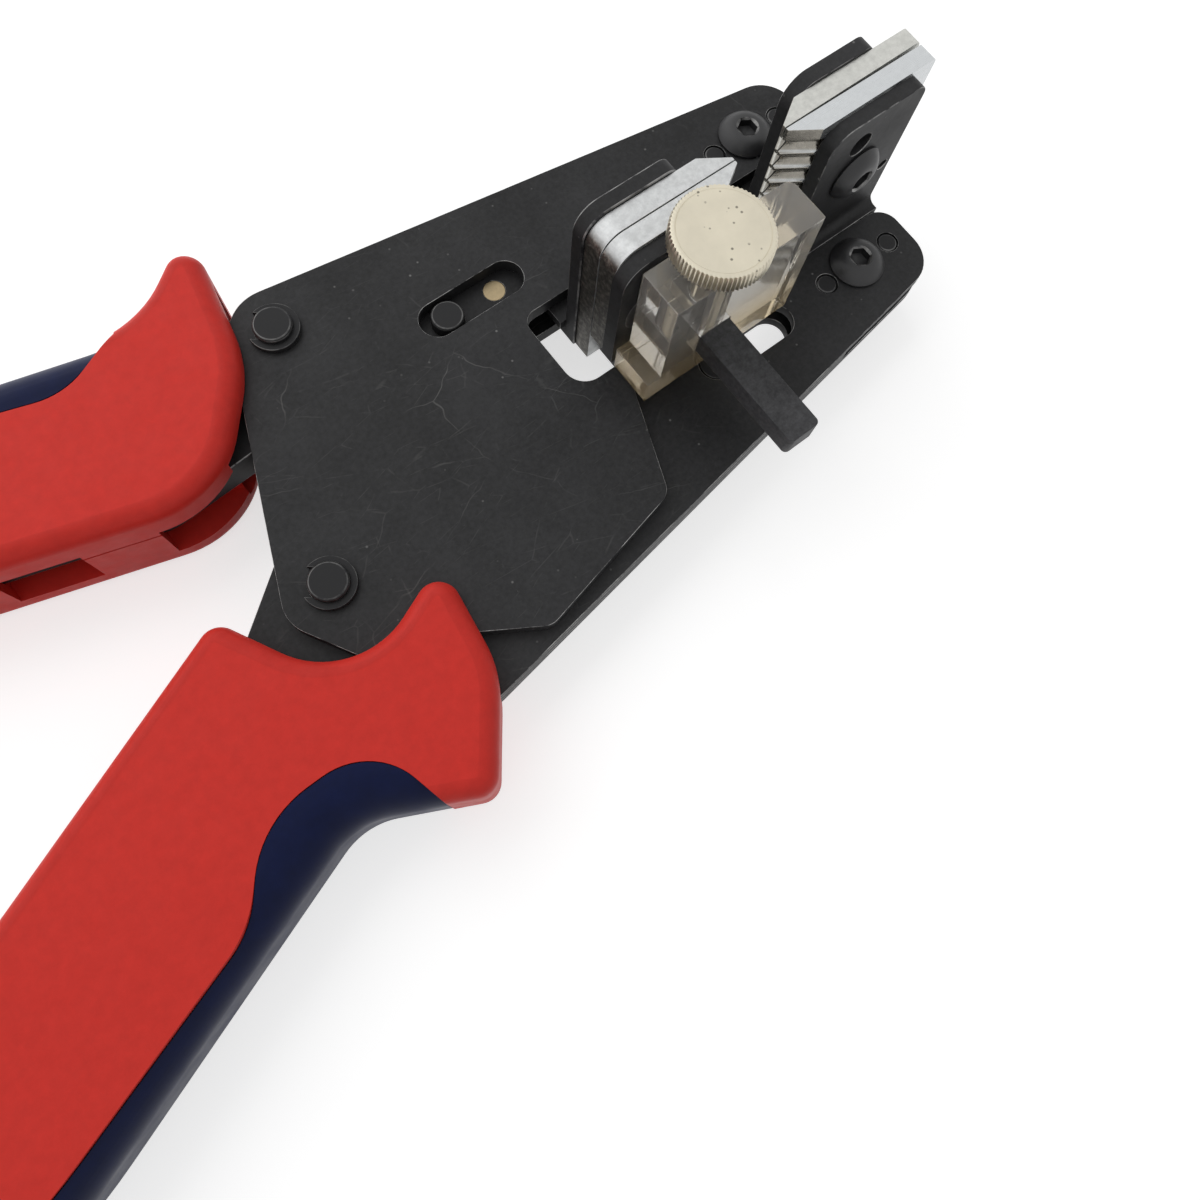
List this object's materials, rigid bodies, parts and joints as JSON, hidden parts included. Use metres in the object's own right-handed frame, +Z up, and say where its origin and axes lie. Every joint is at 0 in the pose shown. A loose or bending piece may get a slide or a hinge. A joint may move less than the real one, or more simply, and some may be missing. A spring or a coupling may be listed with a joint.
{
  "type": "wire stripping pliers",
  "caption": "Precision wire stripping pliers with red and dark blue grips, black steel frame, sliding grooved jaws and a clear length stop with a thumb screw.",
  "frame": {"origin": "middle of the overall outline on the table that the tool lies on", "axes": "+X runs from the grips to the jaws, +Y to the clamp lever side, +Z up"},
  "size_m": [0.195, 0.104, 0.0353],
  "materials": {
    "black_steel": "burnished black, fine scratches, worn bright edges",
    "bare_steel": "ground steel with a thin dark oxide",
    "blade_steel": "ground tool steel",
    "red_plastic": "fine grained moulding",
    "blue_soft": "soft matt overmould",
    "brass": "turned",
    "nickel": "satin nickel, knurled rim",
    "clear_acrylic": "clear, polished faces, amber edges"
  },
  "bodies": {
    "frame": {"frame_plate_top": "black_steel", "frame_plate_bottom": "black_steel", "clamp_pivot_pin": "bare_steel", "clamp_pivot_rings": "black_steel", "strip_pivot_pin": "bare_steel", "strip_pivot_rings": "black_steel", "far_front_bracket": "black_steel", "far_front_blade": "blade_steel", "far_front_screw": "black_steel", "upper_finger_screw": "black_steel", "upper_finger_nut": "black_steel", "upper_finger_dowels": "bare_steel", "spring_post": "bare_steel", "clamp_return_spring": "bare_steel"},
    "clamp_arm": {"clamp_lever": "black_steel", "upper_grip": "red_plastic", "upper_grip_inlay": "blue_soft"},
    "far_jaw": {"slide_plate_top": "black_steel", "slide_plate_bottom": "black_steel", "far_rear_bracket": "black_steel", "far_rear_blade": "blade_steel", "far_rear_screw": "black_steel", "drive_pin": "bare_steel", "slide_rivet": "brass"},
    "strip_arm": {"strip_plate_top": "black_steel", "strip_plate_bottom": "black_steel", "strip_spacer": "black_steel", "strip_leaf_spring": "bare_steel", "near_front_bracket": "black_steel", "near_front_blade": "blade_steel", "near_front_screw": "black_steel", "lower_finger_screw": "black_steel", "lower_finger_nut": "black_steel", "lower_finger_washer": "black_steel", "lower_finger_dowels": "bare_steel", "tang_rivets": "bare_steel", "lower_grip": "red_plastic", "lower_grip_inlay": "blue_soft"},
    "near_jaw": {"near_rear_bracket": "black_steel", "near_rear_blade": "blade_steel", "near_rear_screw": "black_steel", "guide_pin": "bare_steel", "stop_bar": "bare_steel"},
    "stop": {"stop_block": "clear_acrylic"},
    "thumb": {"thumb_screw": "nickel"}
  },
  "joints": [
    {"name": "clamp_lever_hinge", "type": "hinge", "parent": "frame", "child": "clamp_arm", "pos_m": [0.01676, 0.02609, 0.0077], "axis": [0, 0, 1], "range_deg": [0, 7.5], "stiffness_Nm_per_rad": 1.5},
    {"name": "far_jaw_slide", "type": "slide", "parent": "frame", "child": "far_jaw", "axis": [1, 0, 0], "range_m": [0, 0.0076], "deforming": ["clamp_return_spring"]},
    {"name": "strip_lever_hinge", "type": "hinge", "parent": "frame", "child": "strip_arm", "pos_m": [0.00386, -0.00551, 0.0077], "axis": [0, 0, 1], "range_deg": [-9, 0], "stiffness_Nm_per_rad": 2, "deforming": ["strip_leaf_spring"]},
    {"name": "near_jaw_slide", "type": "slide", "parent": "strip_arm", "child": "near_jaw", "axis": [1, 0, 0], "range_m": [0, 0.0076]},
    {"name": "stop_slide", "type": "slide", "parent": "near_jaw", "child": "stop", "axis": [0, -1, 0], "range_m": [0, 0.014]},
    {"name": "thumb_screw_turn", "type": "hinge", "parent": "stop", "child": "thumb", "pos_m": [0.05816, -0.00566, 0.028], "axis": [0, 0, 1], "range_deg": [0, 360]}
  ],
  "couplings": [
    {"joint": "far_jaw_slide", "follows": "clamp_lever_hinge", "m_per_rad": 0.05806},
    {"joint": "near_jaw_slide", "follows": "clamp_lever_hinge", "m_per_rad": 0.05806}
  ]
}
